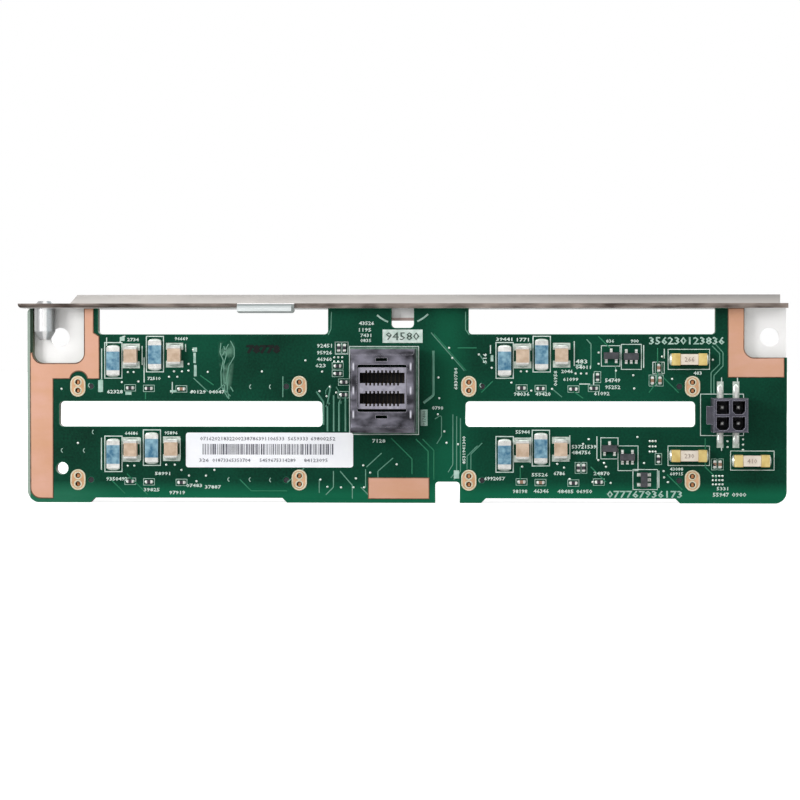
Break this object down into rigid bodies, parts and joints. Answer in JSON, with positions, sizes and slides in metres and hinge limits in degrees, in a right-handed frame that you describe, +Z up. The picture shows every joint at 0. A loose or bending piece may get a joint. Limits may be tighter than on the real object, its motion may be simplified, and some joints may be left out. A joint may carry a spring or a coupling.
{
  "type": "drive backplane board",
  "caption": "Upright circuit board under a folded steel rail, with airflow slots, a data port, a power header, fuses and drive receptacles behind.",
  "frame": {"origin": "centre of the left screw hole, on the front of its tab, against the back of the board", "axes": "+X along the board to the right as pictured, +Z up, -Y out of the pictured side"},
  "size_m": [0.1465, 0.0269, 0.04],
  "materials": {
    "laminate": "solder mask over glass laminate",
    "bare_copper": "matt bare copper",
    "plated_pad": "satin plated copper",
    "zinc_steel": "zinc plated",
    "pin_steel": "turned and plated",
    "port_metal": "drawn and tarnished",
    "port_plastic": "moulded",
    "contact_gold": "gold flash",
    "header_plastic": "moulded",
    "tinned": "tin plated",
    "white_ceramic": "unglazed",
    "cap_gold": "plated",
    "blue_coat": "glazed coat",
    "tan_ceramic": "fired ceramic",
    "receptacle_plastic": "moulded",
    "black_moulding": "moulded",
    "chip_body": "glazed chip",
    "marking_ink": "printed epoxy ink",
    "label_ink": "printed on the label",
    "solder": "reflowed solder",
    "light_chip": "clear lens on a white base",
    "label_paper": "coated paper"
  },
  "bodies": {
    "root": {"circuit_board": "laminate", "ground_strip_left": "bare_copper", "ground_pad_lower": "bare_copper", "ground_strip_right": "bare_copper", "lock_pads": "plated_pad", "top_rail": "zinc_steel", "locating_pin": "pin_steel", "port_shield": "port_metal", "port_housing": "port_plastic", "port_contacts": "contact_gold", "power_housing": "header_plastic", "power_pins": "tinned", "fuse_body_1": "white_ceramic", "fuse_caps_1": "cap_gold", "fuse_body_2": "white_ceramic", "fuse_caps_2": "cap_gold", "fuse_body_3": "white_ceramic", "fuse_caps_3": "cap_gold", "sense_resistors_1": "blue_coat", "resistor_ends_1": "tinned", "bay_capacitors_1": "tan_ceramic", "capacitor_ends_1": "tinned", "drive_receptacle_1": "receptacle_plastic", "receptacle_contacts_1": "contact_gold", "receptacle_locks_1": "tinned", "sense_resistors_2": "blue_coat", "resistor_ends_2": "tinned", "bay_capacitors_2": "tan_ceramic", "capacitor_ends_2": "tinned", "drive_receptacle_2": "receptacle_plastic", "receptacle_contacts_2": "contact_gold", "receptacle_locks_2": "tinned", "sense_resistors_3": "blue_coat", "resistor_ends_3": "tinned", "bay_capacitors_3": "tan_ceramic", "capacitor_ends_3": "tinned", "drive_receptacle_3": "receptacle_plastic", "receptacle_contacts_3": "contact_gold", "receptacle_locks_3": "tinned", "sense_resistors_4": "blue_coat", "resistor_ends_4": "tinned", "bay_capacitors_4": "tan_ceramic", "capacitor_ends_4": "tinned", "drive_receptacle_4": "receptacle_plastic", "receptacle_contacts_4": "contact_gold", "receptacle_locks_4": "tinned", "transistor_bodies": "black_moulding", "transistor_leads": "tinned", "small_chips": "chip_body", "chip_ends": "tinned", "status_lights": "light_chip", "label": "label_paper"}
  },
  "joints": []
}
